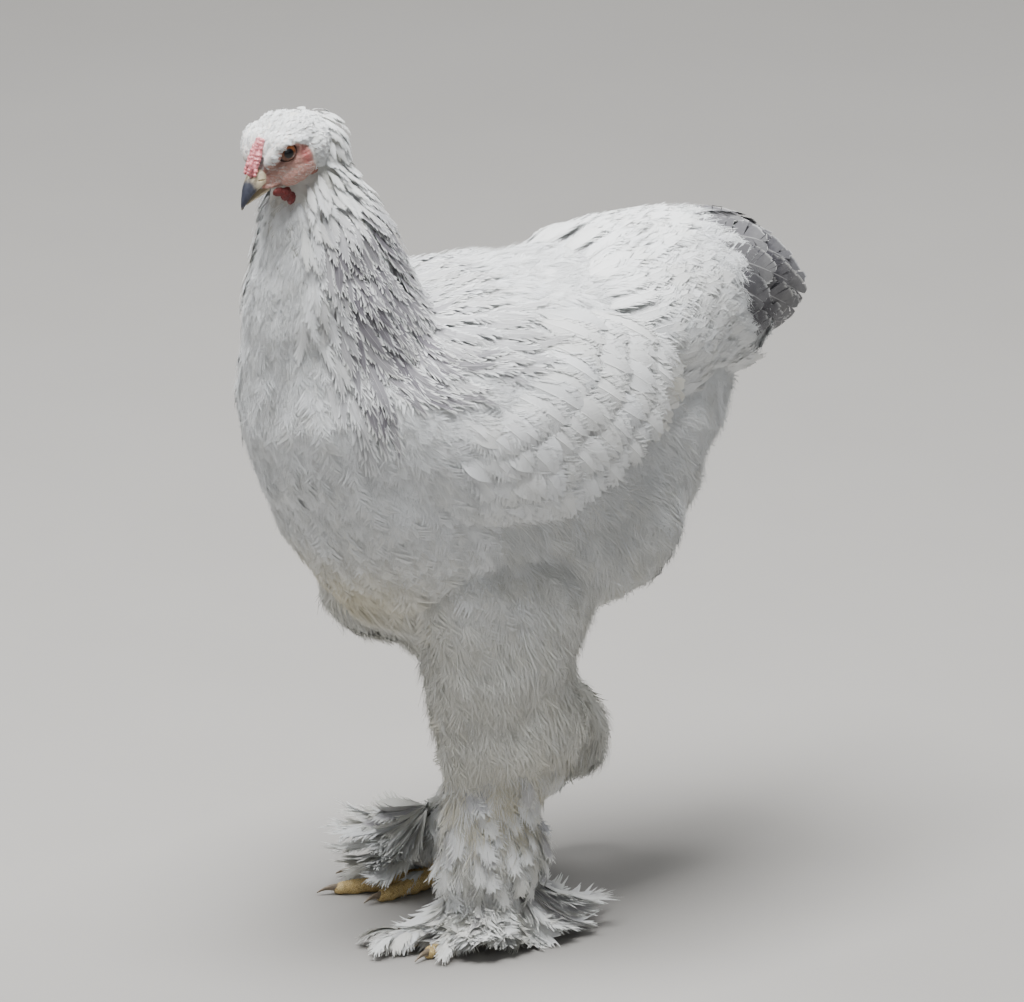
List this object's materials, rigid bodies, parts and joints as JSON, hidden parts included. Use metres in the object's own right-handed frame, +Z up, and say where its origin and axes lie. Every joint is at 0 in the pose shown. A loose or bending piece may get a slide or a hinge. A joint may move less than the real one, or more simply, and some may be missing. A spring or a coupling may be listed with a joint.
{
  "type": "brahma chicken",
  "caption": "Life-size still model of a young brahma hen standing alert, with grey-marked neck and tail and feathered legs.",
  "frame": {"origin": "middle of the bottom of the bounding box, on the floor", "axes": "+Z up, -Y the way the bird looks, +X its left side"},
  "size_m": [0.2188, 0.4392, 0.5776],
  "materials": {
    "feather_white": "soft matt feathers",
    "feather_grey": "soft satin feathers",
    "comb_red": "satin skin",
    "beak_horn": "satin horn",
    "eye": "wet gloss",
    "toe_yellow": "satin scaled skin",
    "claw": "satin horn"
  },
  "bodies": {
    "root": {"beak_lower": "beak_horn", "beak_upper": "beak_horn", "claw_hind_left": "claw", "claw_hind_right": "claw", "claw_inner_left": "claw", "claw_inner_right": "claw", "claw_middle_left": "claw", "claw_middle_right": "claw", "claw_outer_left": "claw", "claw_outer_right": "claw", "comb": "comb_red", "earlobe_left": "comb_red", "earlobe_right": "comb_red", "eye_left": "eye", "eye_right": "eye", "foot_left": "toe_yellow", "foot_right": "toe_yellow", "head": "feather_white", "neck": "feather_white", "shank_left": "feather_white", "shank_right": "feather_white", "tail": "feather_grey", "thigh_left": "feather_white", "thigh_right": "feather_white", "toe_hind_left": "toe_yellow", "toe_hind_right": "toe_yellow", "toe_inner_left": "toe_yellow", "toe_inner_right": "toe_yellow", "toe_middle_left": "toe_yellow", "toe_middle_right": "toe_yellow", "toe_outer_left": "toe_yellow", "toe_outer_right": "toe_yellow", "torso": "feather_white", "wattle_left": "comb_red", "wattle_right": "comb_red", "wing_left": "feather_white", "wing_right": "feather_white"}
  },
  "joints": []
}
